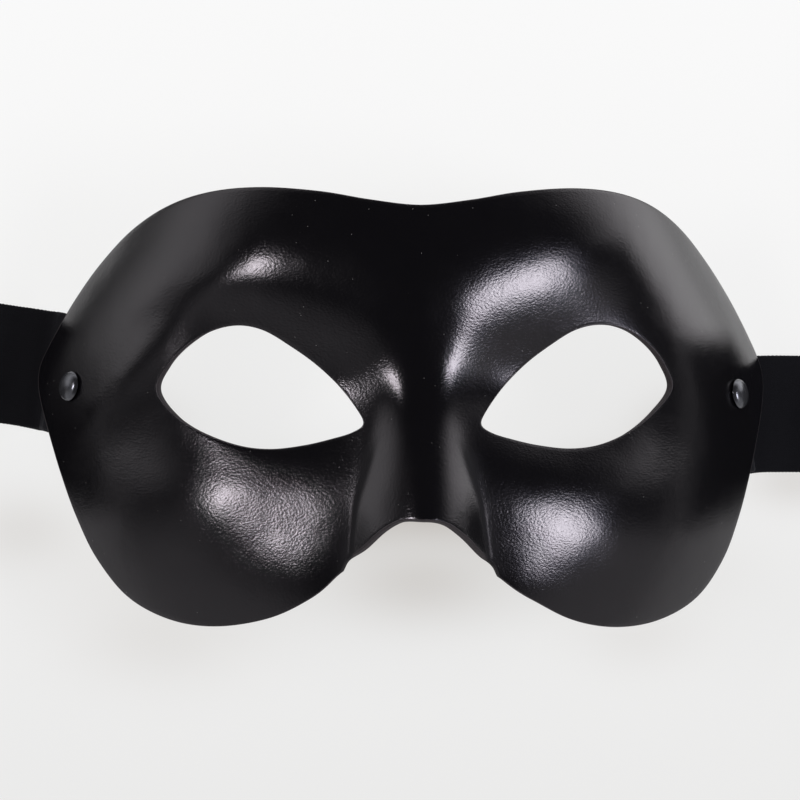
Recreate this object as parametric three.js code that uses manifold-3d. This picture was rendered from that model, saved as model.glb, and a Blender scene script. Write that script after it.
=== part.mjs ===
// A black half mask moulded from one piece of leather, lying face up, with the
// elastic strap that is riveted inside its temples folded away underneath it.
// Millimetres. +Z points out of the face, +Y to the brow, X runs from temple to
// temple, and z = 0 is the table that the folded strap lies on.
import * as THREE from 'three';
import { mergeVertices } from 'three/addons/utils/BufferGeometryUtils.js';
import Module from 'manifold-3d';

const wasm = await Module();
wasm.setup();

// leather
const leather = 2.0;
const innerPatch = 2.5; // the inner skin turns its bends more gently than the outer one
const crown = 71.1; // height of the dome over the middle of the face
const halfWidth = 92.2;
const centring = 1.4; // brings the middle of the outline over the origin
const middleRound = 3;
const wrapReach = 90;
const wrapDrop = 54.3; // how far the dome has fallen at wrapReach from the middle
const wrapPower = 2.99;
const wrapTilt = 0.39; // the temples wrap further back at the brow than at the cheek
const wrapBow = 0.383;
const tiltReach = 50;

// forehead and cheeks roll back towards their edges
const foreheadStart = 9.2;
const foreheadRoll = 0.0062;
const cheekStart = -12.9;
const cheekRoll = 0.006;
const rollSoftness = 4;

// round hollow that each eye hole sits in; its edge is the brow crest, and it reaches
// further up and out than down and in
const socket = { u: 30, y: 15.4, radiusU: 21.1, radiusY: 55.5, turn: -0.4, outward: 0.7, upward: 35.4 };
const socketDepth = 9.53;
const socketDeepening = -0.191; // deeper towards the cheek
const socketPower = 0.838;
const crestSoftness = 1.41;
const lopSoftness = 10;

// swells, and hollows where the height is below zero
const swells = [
  { u: 67.8, y: 58.2, radiusU: 72.6, radiusY: 17.4, turn: 0.656, height: 5.4 }, // over the brow
  { u: 18.6, y: -49.7, radiusU: 21.1, radiusY: 16.1, turn: -0.475, height: 3.28 }, // under the cheek
  { u: -2.9, y: 5.7, radiusU: 15.1, radiusY: 6.8, turn: 1.18, height: -2.46 }, // root of the nose
  { u: 69.2, y: -9.1, radiusU: 23.1, radiusY: 38.7, turn: 0.99, height: -5.9 }, // beside the eye
  { u: 15.5, y: -28.3, radiusU: 11, radiusY: 21.5, turn: -0.84, height: 0.43 }, // side of the nose
];

// unevenness of the moulding on the left side alone, faded in from the middle
const leftSwells = [
  { u: 51.4, y: 29.8, radiusU: 30.5, radiusY: 11, turn: 0.03, height: 2.17 }, // brow
  { u: 38.8, y: -28, radiusU: 15.3, radiusY: 43, turn: 0.91, height: -2.6 }, // cheek
  { u: 69.1, y: 7.6, radiusU: 5, radiusY: 28.1, turn: 0.76, height: 1 }, // temple
  { u: 45.4, y: -16, radiusU: 13.1, radiusY: 6.1, turn: 0.27, height: -0.53 }, // lower lid
];
const leftFade = 12;

// nose: a narrow ridge, wider towards the brow, with two steep sides
const ridgeHeight = 65.7;
const ridgeSlope = 0.591;
const ridgeBow = 0.0036;
const ridgeHalfWidth = 3.43;
const ridgeFlare = 0.174;
const ridgeRound = 22.4;
const noseSideSlope = 4.85;
const noseSideSpread = 0.115;
const noseSideLeast = 2.2; // the sides get no flatter than this towards the notch
const noseSideSoftness = 0.5;
const noseBlend = 2.2;
const creaseBlend = 0.7; // the crease beside the nose is sharper towards the notch
const creaseFrom = -34;
const creaseTo = -8;
const leftEase = 0.1; // the left side of the nose is less steep

// the two halves are cut by hand: each pull moves the plan near it, fading out at the middle line
const pulls = {
  right: [
    { x: 85, y: 0, reach: 80, outward: 0.9, upward: 0.2 }, // the half as a whole
    { x: 57, y: 12, reach: 13, outward: 0.5, upward: 0.45 }, // outer end of the eye hole
    { x: 20, y: 2, reach: 12, outward: 0.35, upward: -0.35 }, // its inner end
    { x: 68, y: -50, reach: 24, outward: 0.45, upward: -0.65 }, // cheek
    { x: 20, y: -42, reach: 9, outward: -0.7, upward: -0.9 }, // end of the nose notch
  ],
  left: [
    { x: 58, y: -3, reach: 8, outward: 0.55, upward: -0.65 }, // outer end of the eye hole
    { x: 52, y: 16, reach: 9, outward: -0.1, upward: -0.35 },
    { x: 9, y: -31, reach: 9, outward: 1, upward: 1.4 }, // nose notch
    { x: 18, y: -40, reach: 6, outward: 0.5, upward: 0.6 },
    { x: 78, y: -45, reach: 16, outward: -0.35, upward: 0.3 }, // cheek
    { x: 40, y: -56, reach: 13, outward: 0, upward: 0.6 },
  ],
};
const pullFade = 6;
const wider = 0.85; // by how much the right temple stands out further than the left one

// half outline, from the dip in the brow edge round the temple to the nose notch
const browEdge = [
  [0, 47.4], [12, 48.7], [24, 50.8], [38, 52], [50, 51.2], [60, 48.2], [68.7, 42.7],
  [76.2, 34.9], [82.4, 26.4], [87.6, 17.6], [91.4, 10], [halfWidth, 5], [91.4, -0.6],
  [89.2, -8.7], [86.3, -18.3], [82.6, -28.7], [77.7, -39.1], [70.1, -48.2],
  [59.4, -53.4], [47.7, -54.8], [36.3, -52.6], [26.5, -47.2], [18.8, -41.2],
];
const notchEdge = [[18.8, -41.2], [17.4, -38.6], [14, -35.9], [9.3, -31.9], [4.6, -28.8], [0, -27.9]];

// eye hole, closed, from its outer corner over the top
const eyeHole = [
  [62.4, 3], [60.2, 8.6], [56, 13.4], [50.4, 17.1], [44, 18.4], [37.6, 17.1], [31, 13.2],
  [25, 8.9], [19.6, 3.8], [15.4, -1.8], [14, -5.2], [16.5, -7.2], [21.2, -8.7], [28, -10.3],
  [36, -11.2], [43.6, -10.3], [51, -7.4], [57.6, -2.8],
];
const eyeCentre = [38, 3];
const centreSteps = 18;
const browSteps = 58;
const notchSteps = 8;
const rings = 8;
const curveSamples = 800;
const weld = 1e-4;

// rivets
const rivetPlaces = { left: [-83.7, 3.8], right: [83.5, 2] };
const capRadius = 3.75;
const capHeight = 1.9;
const capRim = 0.5;
const capChamfer = 0.3;
const domeSteps = 5;
const postRadius = 1.3;
const discRadius = 3.8;
const discThickness = 0.8;
const rivetSides = 20;
const drillLength = 16;
const gap = 0.35;
const strapEase = 0.22; // more room where the strap bends round the rim

// strap
const strapWidth = 30;
const strapThickness = 1.2;
const rimMargin = 3; // how far past its rim the leather still presses on the strap
const tuckPasses = 3;
const strapColumns = 6;
const strapStep = 5;
const lapEnd = 10; // route spans at each end that lie against the leather or just clear of it
const layerTop = 2.2; // the layers on the table lie below this, clear of the leather

// Middle line of the strap: x, y, z, lean of its width from level towards upright, and
// turn of its width in plan. Inside the temples the leather presses it into place, and
// on the table its own edge does.
const strapRoute = [
  [-74.9, 5.6, 30.9, 5, 8],
  [-78.6, 6.2, 25.9, 5, 8],
  [-81.6, 6.7, 21.3, 5, 8],
  [-84.4, 7.1, 16.1, 5, 8],
  [-86.9, 7.5, 10.3, 4, 8],
  [-88.3, 7.7, 5, 2, 8],
  [-89.3, 7.9, 2.7, 0, 8],
  [-90.8, 8.1, 2.1, 0, 8],
  [-94, 8.6, 2.1, 0, 8],
  [-99, 9.3, 2.2, 0, 8],
  [-102.4, 9.8, 2.9, 0, 8],
  [-104.5, 10.1, 3.5, 0, 8],
  [-106.3, 10.4, 2.9, 0, 8],
  [-106.4, 10.4, 1.5, 0, 8],
  [-104.6, 10.1, 0.7, 0, 8],
  [-101, 9.6, 0.6, 0, 8],
  [-94, 8.5, 0.6, 0, 8],
  [-86, 6.4, 0.6, 8, 8],
  [-80, 2.8, 0.6, 24, 6],
  [-74, -2.2, 0.6, 46, 3],
  [-68, -8, 0.6, 68, 0],
  [-62, -13.6, 0.6, 84, 0],
  [-56, -18, 0.6, 90, 0],
  [-49, -21.8, 0.6, 90, 0],
  [-41, -25, 0.6, 90, 0],
  [-31, -27.6, 0.6, 90, 0],
  [-20, -27.6, 0.6, 90, 0],
  [-10, -25.6, 0.6, 90, 0],
  [0, -24.6, 0.6, 90, 0],
  [10, -25.6, 0.6, 90, 0],
  [20, -27.6, 0.6, 90, 0],
  [31, -28, 0.6, 90, 0],
  [41, -26.4, 0.6, 90, 0],
  [49, -23.6, 0.6, 85, 0],
  [56, -20.4, 0.6, 76, 0],
  [62, -17, 0.6, 62, 0],
  [68, -13.2, 0.6, 44, 0],
  [74, -9.4, 0.6, 26, 0],
  [80, -6.2, 0.6, 12, 0],
  [86, -4.1, 0.6, 4, 0],
  [94, -3.1, 0.6, 0, 0],
  [103, -3.1, 0.6, 0, 0],
  [106.7, -3.1, 0.7, 0, 0],
  [108.5, -3.1, 1.5, 0, 0],
  [108.4, -3.1, 2.9, 0, 0],
  [106.6, -3.1, 3.5, 0, 0],
  [104.4, -3.1, 2.9, 0, 0],
  [101, -3.1, 2.2, 0, 0],
  [94, -3.1, 2.1, 0, 0],
  [90.8, -3.1, 2.1, 0, 0],
  [89.3, -3, 2.8, 1, 0],
  [88.3, -3, 5.2, 3, -2],
  [87, -2.9, 10.7, 5, -5],
  [84.8, -2.7, 16.1, 6, -7],
  [82, -2.4, 21.5, 6, -8],
  [79.2, -2.2, 26.3, 6, -8],
  [75.6, -2, 31.5, 6, -8],
];

// positive part of a value, rounded off near zero
function softPart(value, softness) {
  return (value + Math.sqrt(value * value + softness * softness)) / 2;
}

// squared distance from a form's centre, in units of its two turned radii, which may
// differ from one side of the centre to the other
function ovalDistance(form, u, y) {
  const du = u - form.u;
  const dy = y - form.y;
  const along = du * Math.cos(form.turn) + dy * Math.sin(form.turn);
  const across = dy * Math.cos(form.turn) - du * Math.sin(form.turn);
  const radiusU = form.radiusU + ((form.outward ?? 0) * along) / Math.hypot(along, lopSoftness);
  const radiusY = form.radiusY + ((form.upward ?? 0) * across) / Math.hypot(across, lopSoftness);
  return (along / radiusU) ** 2 + (across / radiusY) ** 2;
}

function swellHeight(forms, u, y) {
  return forms.reduce((sum, form) => sum + form.height * Math.exp(-ovalDistance(form, u, y)), 0);
}

// height of the leather's outer face over the table at a place in plan
function faceHeight(x, y) {
  const u = Math.hypot(x, middleRound);
  const lean = y / tiltReach;
  let z = crown - wrapDrop * (u / wrapReach) ** wrapPower * (1 + wrapTilt * lean + wrapBow * lean * lean);
  z -= foreheadRoll * softPart(y - foreheadStart, rollSoftness) ** 2;
  z -= cheekRoll * softPart(cheekStart - y, rollSoftness) ** 2;
  z += swellHeight(swells, u, y);
  const leftward = THREE.MathUtils.smoothstep(-x, 0, leftFade);
  z += leftward * swellHeight(leftSwells, u, y);
  const inside = softPart(1 - ovalDistance(socket, u, y), crestSoftness);
  z -= inside ** socketPower * (socketDepth + socketDeepening * (y - socket.y));
  const offRidge = Math.max(u - ridgeHalfWidth - ridgeFlare * y, 0);
  const fall = Math.hypot(offRidge, ridgeRound) - ridgeRound;
  const ridge = ridgeHeight - ridgeSlope * y - ridgeBow * y * y;
  const steeper = noseSideSlope + noseSideSpread * y - noseSideLeast;
  const sideSlope = noseSideLeast + softPart(steeper, noseSideSoftness);
  const roof = ridge - sideSlope * fall * (1 - leftEase * leftward);
  const sharpness = THREE.MathUtils.smoothstep(y, creaseFrom, creaseTo);
  const blend = THREE.MathUtils.lerp(creaseBlend, noseBlend, sharpness);
  return (z + roof + Math.hypot(z - roof, blend)) / 2;
}

// outward direction, taken over a small or a wider patch of the face
function faceNormal(x, y, patch = 0.1) {
  const dx = (faceHeight(x + patch, y) - faceHeight(x - patch, y)) / (2 * patch);
  const dy = (faceHeight(x, y + patch) - faceHeight(x, y - patch)) / (2 * patch);
  return new THREE.Vector3(-dx, -dy, 1).normalize();
}

function facePoint(x, y, depth = 0) {
  return new THREE.Vector3(x, y, faceHeight(x, y)).addScaledVector(faceNormal(x, y, innerPatch), -depth);
}

// a plan drawn for one half, put on its side of the face
function onSide(p, side) {
  const free = THREE.MathUtils.smoothstep(p.x, 0, pullFade);
  let [across, up] = [p.x, p.y];
  for (const { x, y, reach, outward, upward } of pulls[side > 0 ? 'right' : 'left']) {
    const share = free * Math.exp(-((p.x - x) ** 2 + (p.y - y) ** 2) / reach ** 2);
    across += share * outward;
    up += share * upward;
  }
  return [side * across, up];
}

function geometryOf(positions, indices) {
  const geometry = new THREE.BufferGeometry();
  geometry.setAttribute('position', new THREE.Float32BufferAttribute(positions, 3));
  geometry.setIndex(indices);
  return mergeVertices(geometry, weld);
}

function solidOf(geometry) {
  const bare = geometry.clone();
  bare.deleteAttribute('normal');
  bare.deleteAttribute('uv');
  const merged = mergeVertices(bare, weld);
  return new wasm.Manifold(new wasm.Mesh({
    numProp: 3,
    vertProperties: new Float32Array(merged.attributes.position.array),
    triVerts: new Uint32Array(merged.index.array),
  }));
}

function geometryFromSolid(solid) {
  const mesh = solid.getMesh();
  return geometryOf(Array.from(mesh.vertProperties), Array.from(mesh.triVerts));
}

// evenly spaced places along a smooth curve through the given points
function alongCurve(points, steps) {
  const curve = new THREE.SplineCurve(points.map(([x, y]) => new THREE.Vector2(x, y)));
  curve.arcLengthDivisions = curveSamples;
  return curve.getSpacedPoints(steps);
}

// where the ray at an angle from the eye's centre meets the eye hole's edge
function eyeEdgeAt(angle, rim) {
  const [cu, cy] = eyeCentre;
  const turn = (p) => {
    const d = Math.atan2(p.y - cy, p.x - cu) - angle;
    return Math.atan2(Math.sin(d), Math.cos(d));
  };
  for (let i = 0; i < rim.length - 1; i += 1) {
    const a = turn(rim[i]);
    const b = turn(rim[i + 1]);
    if (Math.abs(a) < 1 && Math.abs(b) < 1 && a * b <= 0 && a !== b) {
      return rim[i].clone().lerp(rim[i + 1], a / (a - b));
    }
  }
  return rim[0].clone();
}

// One half of the face is a grid of rings from the eye hole out to the outline and
// the centre line. Its outer and inner skins are joined by walls along the eye hole
// and along the outline, and the other half is made the same way.
function maskShell() {
  const wound = [eyeHole.at(-1), ...eyeHole, eyeHole[0], eyeHole[1]];
  const closed = new THREE.SplineCurve(wound.map(([x, y]) => new THREE.Vector2(x, y)));
  const rim = [];
  for (let i = 0; i <= curveSamples; i += 1) {
    rim.push(closed.getPoint((1 + (i / curveSamples) * eyeHole.length) / (wound.length - 1)));
  }

  const mirrored = [-browEdge[1][0], browEdge[1][1]];
  const brow = alongCurve([mirrored, ...browEdge], curveSamples).filter((p) => p.x >= 0);
  const browCurve = alongCurve(brow.map((p) => [p.x, p.y]), browSteps);
  browCurve[0].set(0, browEdge[0][1]);
  const notch = alongCurve(notchEdge, notchSteps);
  const bottom = notchEdge.at(-1)[1];
  const top = browEdge[0][1];
  const outline = [...browCurve.slice(0, -1), ...notch];
  for (let i = 1; i < centreSteps; i += 1) {
    outline.push(new THREE.Vector2(0, bottom + ((top - bottom) * i) / centreSteps));
  }
  const count = outline.length;
  const free = browSteps + notchSteps; // outline segments that are real edges

  const positions = [];
  const indices = [];
  for (const side of [1, -1]) {
    const base = positions.length / 3;
    for (const depth of [0, leather]) {
      for (const edge of outline) {
        const eye = eyeEdgeAt(Math.atan2(edge.y - eyeCentre[1], edge.x - eyeCentre[0]), rim);
        for (let r = 0; r <= rings; r += 1) {
          const p = eye.clone().lerp(edge, r / rings);
          const v = facePoint(...onSide(p, side), depth);
          if (p.x === 0) v.x = 0;
          positions.push(v.x, v.y, v.z);
        }
      }
    }
    const outer = (i, r) => base + (i % count) * (rings + 1) + r;
    const inner = (i, r) => outer(i, r) + count * (rings + 1);
    const quad = (a, b, c, d) => {
      if (side > 0) indices.push(a, b, c, a, c, d);
      else indices.push(a, c, b, a, d, c);
    };
    for (let i = 0; i < count; i += 1) {
      for (let r = 0; r < rings; r += 1) {
        quad(outer(i, r), outer(i + 1, r), outer(i + 1, r + 1), outer(i, r + 1));
        quad(inner(i, r), inner(i, r + 1), inner(i + 1, r + 1), inner(i + 1, r));
      }
      quad(outer(i, 0), inner(i, 0), inner(i + 1, 0), outer(i + 1, 0));
      if (i < free) quad(outer(i, rings), outer(i + 1, rings), inner(i + 1, rings), inner(i, rings));
    }
  }
  return geometryOf(positions, indices);
}

// turns an axis of revolution from +Y to the leather's normal at a rivet
function rivetFrame([x, y]) {
  const turn = new THREE.Quaternion().setFromUnitVectors(new THREE.Vector3(0, 1, 0), faceNormal(x, y));
  return new THREE.Matrix4().compose(facePoint(x, y), turn, new THREE.Vector3(1, 1, 1));
}

function rivetGrip() {
  return leather + gap + 2 * strapEase + strapThickness + gap;
}

// domed cap, post and back disc turned in one piece
function rivet(place) {
  const under = gap;
  const back = -rivetGrip();
  const profile = [
    [0, back - discThickness], [discRadius, back - discThickness], [discRadius, back],
    [postRadius, back], [postRadius, under], [capRadius - capChamfer, under], [capRadius, under + capRim / 2],
  ];
  for (let i = 1; i <= domeSteps; i += 1) {
    const angle = (i / domeSteps) * (Math.PI / 2);
    const rise = (capHeight - capRim / 2) * Math.sin(angle);
    profile.push([capRadius * Math.cos(angle), under + capRim / 2 + rise]);
  }
  profile[profile.length - 1][0] = 0;
  const points = profile.map(([r, h]) => new THREE.Vector2(r, h));
  return new THREE.LatheGeometry(points, rivetSides).applyMatrix4(rivetFrame(place));
}

function drill(place) {
  const radius = postRadius + gap;
  const cutter = new THREE.CylinderGeometry(radius, radius, drillLength, rivetSides);
  return solidOf(cutter.applyMatrix4(rivetFrame(place)));
}

// x of the outline at a height on the temple
function templeEdge(y) {
  const i = browEdge.findIndex(([x, edge]) => x > wrapReach / 2 && edge <= y);
  const [[xa, ya], [xb, yb]] = [browEdge[i - 1], browEdge[i]];
  return THREE.MathUtils.lerp(xa, xb, (ya - y) / (ya - yb));
}

// moves a place in the strap's middle layer off the inner face of the temple
function tuck(place) {
  const clear = leather + gap + strapEase + strapThickness / 2;
  for (let pass = 0; pass < tuckPasses; pass += 1) {
    const normal = faceNormal(place.x, place.y);
    const depth = (faceHeight(place.x, place.y) - place.z) * normal.z;
    const foot = place.clone().addScaledVector(normal, depth);
    const inside = templeEdge(foot.y) + (foot.x > 0 ? wider : 0) - Math.abs(foot.x);
    const hold = THREE.MathUtils.clamp(1 + inside / rimMargin, 0, 1)
      * THREE.MathUtils.clamp((place.z - layerTop) / layerTop, 0, 1);
    place.addScaledVector(normal, -hold * Math.max(clear - depth, 0));
  }
}

// The strap is a flat band carried along its route: at each step a thin closed
// section lies across the path, leaning and turned as the route says.
function strap() {
  const places = strapRoute.map(([x, y, z]) => new THREE.Vector3(x, y, z));
  const middle = new THREE.CatmullRomCurve3(places, false, 'centripetal');
  const spans = strapRoute.length - 1;
  const stops = [];
  for (let i = 0; i < spans; i += 1) {
    const steps = Math.max(1, Math.round(places[i].distanceTo(places[i + 1]) / strapStep));
    for (let k = 0; k < steps; k += 1) stops.push(i + k / steps);
  }
  stops.push(spans);

  const positions = [];
  const indices = [];
  const across = strapColumns + 1;
  for (const stop of stops) {
    const i = Math.min(Math.floor(stop), spans - 1);
    const f = stop - i;
    const [lean, turn] = [3, 4].map((k) => {
      return THREE.MathUtils.degToRad(THREE.MathUtils.lerp(strapRoute[i][k], strapRoute[i + 1][k], f));
    });
    const centre = middle.getPoint(stop / spans);
    const tangent = middle.getTangent(stop / spans);
    const level = new THREE.Vector3(Math.sin(turn), Math.cos(turn), 0);
    level.addScaledVector(tangent, -level.dot(tangent)).normalize();
    const width = level.clone().applyAxisAngle(tangent, lean);
    const normal = width.clone().cross(tangent);
    const reach = (Math.abs(width.z) * strapWidth + Math.abs(normal.z) * strapThickness) / 2;
    centre.z += Math.max(reach - centre.z, 0);
    for (const face of [1, -1]) {
      for (let c = 0; c < across; c += 1) {
        const v = face * ((2 * c) / strapColumns - 1);
        const p = centre.clone().addScaledVector(width, (v * strapWidth) / 2);
        if (stop < lapEnd || stop > spans - lapEnd) tuck(p);
        p.addScaledVector(normal, (face * strapThickness) / 2);
        positions.push(p.x, p.y, p.z);
      }
    }
  }
  const section = 2 * across;
  for (let s = 0; s < stops.length - 1; s += 1) {
    for (let c = 0; c < section; c += 1) {
      const a = s * section + c;
      const b = s * section + ((c + 1) % section);
      indices.push(a, b, b + section, a, b + section, a + section);
    }
  }
  const last = (stops.length - 1) * section;
  for (let c = 0; c < strapColumns; c += 1) {
    const [a, b, d, e] = [c, c + 1, section - 2 - c, section - 1 - c];
    indices.push(a, d, b, a, e, d);
    indices.push(last + a, last + b, last + d, last + a, last + d, last + e);
  }
  return geometryOf(positions, indices);
}

const leatherBlack = new THREE.MeshStandardMaterial({ color: 0x0c0b0c, roughness: 0.32, metalness: 0 });
const elasticBlack = new THREE.MeshStandardMaterial({ color: 0x0a0a0b, roughness: 0.9, metalness: 0 });
const gunmetal = new THREE.MeshStandardMaterial({ color: 0x17181a, roughness: 0.3, metalness: 0.8 });

const group = new THREE.Group();

function add(name, geometry, material) {
  geometry.translate(0, centring, 0);
  geometry.computeVertexNormals();
  const mesh = new THREE.Mesh(geometry, material);
  mesh.name = name;
  group.add(mesh);
}

let shell = solidOf(maskShell());
let band = solidOf(strap());
for (const [side, place] of Object.entries(rivetPlaces)) {
  const hole = drill(place);
  shell = shell.subtract(hole);
  band = band.subtract(hole);
  add(`rivet_${side}`, rivet(place), gunmetal);
}
add('mask_shell', geometryFromSolid(shell), leatherBlack);
add('strap', geometryFromSolid(band), elasticBlack);

export default group;
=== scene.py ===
# A black half mask moulded from leather, lying face up on a pale table, with its
# elastic strap folded away underneath. Everything is in metres, +Z up out of the face.
import math

import bmesh
import bpy
import numpy as np
from mathutils import Matrix


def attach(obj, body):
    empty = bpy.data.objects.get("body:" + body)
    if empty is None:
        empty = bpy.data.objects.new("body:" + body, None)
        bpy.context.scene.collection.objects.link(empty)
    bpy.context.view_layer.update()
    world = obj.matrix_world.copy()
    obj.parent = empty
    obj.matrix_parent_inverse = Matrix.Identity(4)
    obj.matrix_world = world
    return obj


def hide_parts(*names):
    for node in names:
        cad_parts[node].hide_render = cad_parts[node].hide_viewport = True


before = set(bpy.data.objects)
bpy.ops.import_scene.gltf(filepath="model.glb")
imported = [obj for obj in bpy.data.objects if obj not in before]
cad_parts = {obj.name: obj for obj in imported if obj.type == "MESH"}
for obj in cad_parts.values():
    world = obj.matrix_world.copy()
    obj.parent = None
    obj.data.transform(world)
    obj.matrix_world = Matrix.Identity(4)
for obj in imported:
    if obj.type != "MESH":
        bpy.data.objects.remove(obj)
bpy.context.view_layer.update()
mm = 0.001
print("frame loaded:", ", ".join(sorted(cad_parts)))


# The photograph was taken square on, a little to the left of the mask's middle.
camera = {
    "distance": 950 * mm,
    "yaw": math.radians(4.7),
    "roll": math.radians(0.02),
    "aim": (0.0, 1.4 * mm, 31.25 * mm),
    "slideRight": -2.52 * mm,
    "slideUp": 0.45 * mm,
    "frameWidth": 198 * mm,  # what the picture spans at the aim
    "sensor": 36.0,
}


def addCamera():
    yaw, roll = camera["yaw"], camera["roll"]
    back = np.array([-math.sin(yaw), 0, math.cos(yaw)])
    level = np.array([math.cos(yaw), 0, math.sin(yaw)])
    right = level * math.cos(roll) + np.array([0, math.sin(roll), 0])
    up = np.cross(back, right)
    place = np.array(camera["aim"]) + camera["distance"] * back
    place += camera["slideRight"] * right + camera["slideUp"] * up
    data = bpy.data.cameras.new("camera")
    data.sensor_width = camera["sensor"]
    data.lens = camera["sensor"] * camera["distance"] / camera["frameWidth"]
    data.clip_start, data.clip_end = 0.01, 20
    made = bpy.data.objects.new("camera", data)
    made.matrix_world = Matrix(np.vstack([np.column_stack([right, up, back, place]), [0, 0, 0, 1]]))
    bpy.context.scene.collection.objects.link(made)
    bpy.context.scene.camera = made


addCamera()
print("camera placed")


# Curves and meshes

# Catmull-Rom curve: knots stand apart by each chord's length to a power, each point's slope
# is worked out from its two chords, and a cubic Hermite arc joins each pair of points.
def smoothPath(points, places, power):
    points = np.asarray(points, float)
    ends = np.vstack([2 * points[0] - points[1], points, 2 * points[-1] - points[-2]])
    chords = np.diff(ends, axis=0)
    steps = np.linalg.norm(chords, axis=1) ** power
    rates = chords / steps[:, None]
    pairs = (ends[2:] - ends[:-2]) / (steps[1:] + steps[:-1])[:, None]
    slopes = rates[:-1] - pairs + rates[1:]
    i = np.clip(places.astype(int), 0, len(points) - 2)
    f = (places - i)[:, None]
    span = steps[1:-1][i][:, None]
    p, q, m, n = points[i], points[i + 1], slopes[i] * span, slopes[i + 1] * span
    return ((2 * f**3 - 3 * f**2 + 1) * p + (f**3 - 2 * f**2 + f) * m
            + (3 * f**2 - 2 * f**3) * q + (f**3 - f**2) * n)


# Equal steps along a line of points, measured in its first columns.
def evenly(line, count, columns=3):
    gone = np.linalg.norm(np.diff(line[:, :columns], axis=0), axis=1)
    gone = np.concatenate([[0], np.cumsum(gone)])
    at = np.linspace(0, gone[-1], count)
    return np.stack([np.interp(at, gone, column) for column in line.T], axis=1)


# Quads between neighbours of a grid of vertices, turning row towards column.
def gridFaces(rows, columns, closed=False):
    r = np.arange(rows - 1)[:, None]
    c = np.arange(columns if closed else columns - 1)[None, :]
    beside = (c + 1) % columns
    quads = [r * columns + c, (r + 1) * columns + c, (r + 1) * columns + beside, r * columns + beside]
    return np.stack(np.broadcast_arrays(*quads), axis=-1).reshape(-1, 4)


def newPiece(name, vertices, quads, attributes=None):
    mesh = bpy.data.meshes.new(name)
    mesh.vertices.add(len(vertices))
    mesh.vertices.foreach_set("co", np.asarray(vertices, np.float32).ravel())
    mesh.loops.add(quads.size)
    mesh.loops.foreach_set("vertex_index", quads.astype(np.int32).ravel())
    mesh.polygons.add(len(quads))
    mesh.polygons.foreach_set("loop_start", np.arange(0, quads.size, 4, dtype=np.int32))
    mesh.update(calc_edges=True)
    for title, values in (attributes or {}).items():
        layer = mesh.attributes.new(title, "FLOAT", "POINT")
        layer.data.foreach_set("value", np.asarray(values, np.float32).ravel())
    mesh.shade_smooth()
    piece = bpy.data.objects.new(name, mesh)
    bpy.context.scene.collection.objects.link(piece)
    return piece


def weld(piece, distance=1e-7):
    shape = bmesh.new()
    shape.from_mesh(piece.data)
    bmesh.ops.remove_doubles(shape, verts=shape.verts, dist=distance)
    shape.to_mesh(piece.data)
    shape.free()
    piece.data.shade_smooth()


# Face

face = {
    "leather": 2.0 * mm,
    "innerPatch": 2.5 * mm,  # the inner skin turns its bends more gently
    "centring": 1.4 * mm,
    "middleRound": 3.0 * mm,
    "crown": 71.1 * mm,
    "wrapReach": 90 * mm,
    "wrapDrop": 54.3 * mm,
    "wrapPower": 2.99,
    "wrapTilt": 0.39,
    "wrapBow": 0.383,
    "tiltReach": 50 * mm,
    "foreheadStart": 9.2 * mm,
    "foreheadRoll": 6.2,  # per metre
    "cheekStart": -12.9 * mm,
    "cheekRoll": 6.0,
    "rollSoftness": 4 * mm,
    "socket": {"u": 30.0 * mm, "y": 15.4 * mm, "radiusU": 21.1 * mm, "radiusY": 55.5 * mm,
               "turn": -0.4, "outward": 0.7 * mm, "upward": 35.4 * mm},
    "socketDepth": 9.53 * mm,
    "socketDeepening": -0.191,
    "socketPower": 0.838,
    "crestSoftness": 1.41,
    "lopSoftness": 10 * mm,
    "ridgeHeight": 65.7 * mm,
    "ridgeSlope": 0.591,
    "ridgeBow": 3.6,
    "ridgeHalfWidth": 3.43 * mm,
    "ridgeFlare": 0.174,
    "ridgeRound": 22.4 * mm,
    "noseSideSlope": 4.85,
    "noseSideSpread": 115,
    "noseSideLeast": 2.2,  # the sides get no flatter than this towards the notch
    "noseSideSoftness": 0.5,
    "noseBlend": 2.2 * mm,
    "creaseBlend": 0.7 * mm,  # the crease beside the nose is sharper towards the notch
    "creaseFrom": -34 * mm,
    "creaseSpan": 26 * mm,
    "creaseRise": 1.4 * mm,  # heights of roof over cheek and cheek over roof where the dull strip of painted shade ends
    "creaseWidth": 3.2 * mm,
    "creaseFade": -14 * mm,
    "creaseFadeSpan": 8 * mm,
    "leftEase": 0.1,  # the nose's left side is less steep
    "leftFade": 12 * mm,
    "pullFade": 6 * mm,
    "wider": 0.85 * mm,  # the right half is cut a little wider than the left
}


def swellAt(u, y, radiusU, radiusY, turn, height):
    return {"u": u * mm, "y": y * mm, "radiusU": radiusU * mm, "radiusY": radiusY * mm,
            "turn": turn, "height": height * mm}


# swells and, below zero, hollows; the second set is on the left side alone
face["swells"] = {
    "brow": swellAt(67.8, 58.2, 72.6, 17.4, 0.656, 5.4),
    "cheek": swellAt(18.6, -49.7, 21.1, 16.1, -0.475, 3.28),
    "noseRoot": swellAt(-2.9, 5.7, 15.1, 6.8, 1.18, -2.46),
    "temple": swellAt(69.2, -9.1, 23.1, 38.7, 0.99, -5.9),
    "noseSide": swellAt(15.5, -28.3, 11.0, 21.5, -0.84, 0.43),
}
face["leftSwells"] = {
    "brow": swellAt(51.4, 29.8, 30.5, 11.0, 0.03, 2.17),
    "cheek": swellAt(38.8, -28.0, 15.3, 43.0, 0.91, -2.6),
    "temple": swellAt(69.1, 7.6, 5.0, 28.1, 0.76, 1.0),
    "lowerLid": swellAt(45.4, -16.0, 13.1, 6.1, 0.27, -0.53),
}


def pull(x, y, reach, outward, upward):
    return {"x": x * mm, "y": y * mm, "reach": reach * mm, "outward": outward * mm, "upward": upward * mm}


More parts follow.
